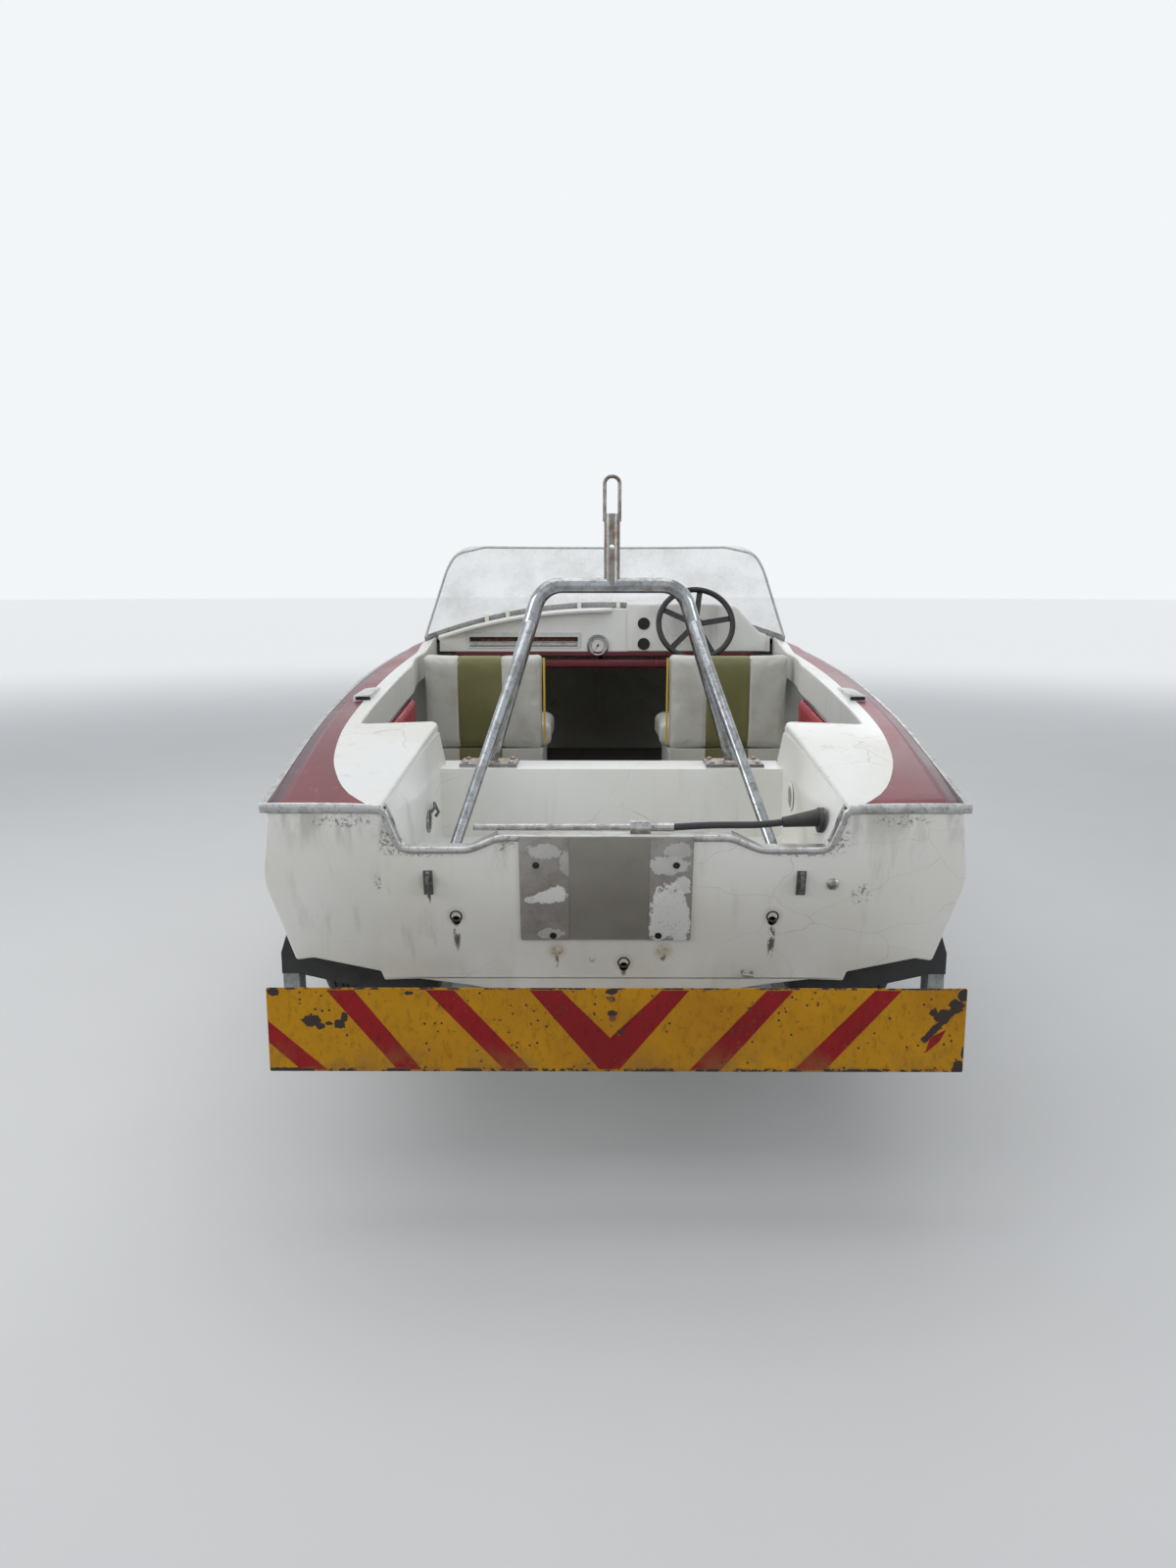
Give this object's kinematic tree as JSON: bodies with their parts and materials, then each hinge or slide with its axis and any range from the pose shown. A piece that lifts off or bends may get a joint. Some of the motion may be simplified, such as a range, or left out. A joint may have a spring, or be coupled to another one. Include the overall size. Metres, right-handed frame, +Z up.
{
  "type": "speedboat on its trailer",
  "caption": "Open glass-fibre speedboat with tow arch, wraparound windscreen and helm, parked on a two-wheel road trailer with a rear warning board.",
  "frame": {"origin": "centre of the bounding box at ground level", "axes": "+Y towards the bow, +X to starboard, +Z up"},
  "size_m": [1.997, 5.8, 1.774],
  "materials": {
    "white_gelcoat": "weathered",
    "red_deck": "weathered gloss",
    "floor_paint": "matte",
    "aluminium_trim": "dulled",
    "motor_plate": "dulled, patches of paint",
    "bright_tube": "polished, spots of rust",
    "stainless": "brushed",
    "black_fittings": "satin",
    "gauge": "gloss",
    "white_plastic": "gloss",
    "clear_acrylic": "clear",
    "white_vinyl": "satin",
    "red_vinyl": "satin",
    "black_rubber": "matte",
    "galvanised": "dull zinc",
    "board_paint": "worn",
    "webbing": "matte",
    "tyre_rubber": "matte",
    "rim_paint": "satin",
    "guard_steel": "matte"
  },
  "bodies": {
    "boat_on_trailer": {"arch_stays": "bright_tube", "axle": "galvanised", "bow_cleat": "stainless", "bow_eye": "stainless", "bow_stop": "black_rubber", "bulkhead": "white_gelcoat", "cockpit_floor": "floor_paint", "coupling": "galvanised", "cradle_arms": "black_rubber", "dashboard": "white_gelcoat", "deck_vents": "white_plastic", "drain_fittings": "black_fittings", "foredeck": "red_deck", "gauges": "gauge", "hazard_board": "board_paint", "helm": "black_fittings", "hull": "white_gelcoat", "jockey_tube": "galvanised", "keel_rollers": "black_rubber", "motor_plate": "motor_plate", "mudguard_port": "guard_steel", "mudguard_starboard": "guard_steel", "roller_brackets": "galvanised", "rub_rail_port": "aluminium_trim", "rub_rail_starboard": "aluminium_trim", "screen_base": "aluminium_trim", "seat_back_port": "white_vinyl", "seat_back_starboard": "white_vinyl", "seat_boxes": "white_gelcoat", "seat_cushion_port": "white_vinyl", "seat_cushion_starboard": "white_vinyl", "side_deck_port": "red_deck", "side_deck_starboard": "red_deck", "side_pad_port": "red_vinyl", "side_pad_starboard": "red_vinyl", "ski_eyes": "stainless", "splash_well": "white_gelcoat", "springs": "galvanised", "steering_boot": "black_rubber", "steering_cable": "black_rubber", "steering_ram": "stainless", "tow_arch": "bright_tube", "tow_post": "bright_tube", "trailer_frame": "galvanised", "transom_trim": "aluminium_trim", "valance": "red_vinyl", "well_rings": "black_fittings", "winch": "galvanised", "winch_post": "galvanised", "winch_strap": "webbing", "windscreen": "clear_acrylic"},
    "wheel_port": {"tyre_port": "tyre_rubber", "rim_port": "rim_paint"},
    "wheel_starboard": {"tyre_starboard": "tyre_rubber", "rim_starboard": "rim_paint"},
    "jockey_leg_body": {"jockey_leg": "galvanised"},
    "jockey_fork_body": {"jockey_fork": "galvanised"},
    "jockey_wheel_body": {"jockey_wheel": "black_rubber"},
    "steering_wheel_body": {"steering_wheel": "black_fittings"}
  },
  "joints": [
    {"name": "wheel_port_spin", "type": "hinge", "parent": "boat_on_trailer", "child": "wheel_port", "pos_m": [-0.915, -1.25, 0.289], "axis": [1, 0, 0], "continuous": true},
    {"name": "wheel_starboard_spin", "type": "hinge", "parent": "boat_on_trailer", "child": "wheel_starboard", "pos_m": [0.915, -1.25, 0.289], "axis": [1, 0, 0], "continuous": true},
    {"name": "jockey_slide", "type": "slide", "parent": "boat_on_trailer", "child": "jockey_leg_body", "axis": [0, 0, 1], "range_m": [0, 0.18]},
    {"name": "jockey_swivel", "type": "hinge", "parent": "jockey_leg_body", "child": "jockey_fork_body", "pos_m": [0.098, 2.25, 0.21], "axis": [0, 0, 1], "continuous": true},
    {"name": "jockey_wheel_spin", "type": "hinge", "parent": "jockey_fork_body", "child": "jockey_wheel_body", "pos_m": [0.098, 2.218, 0.1], "axis": [1, 0, 0], "continuous": true},
    {"name": "steering_wheel_turn", "type": "hinge", "parent": "boat_on_trailer", "child": "steering_wheel_body", "pos_m": [0.388, -0.3561, 1.31215], "axis": [0, -0.9063, 0.4226], "range_deg": [-540, 540]}
  ]
}
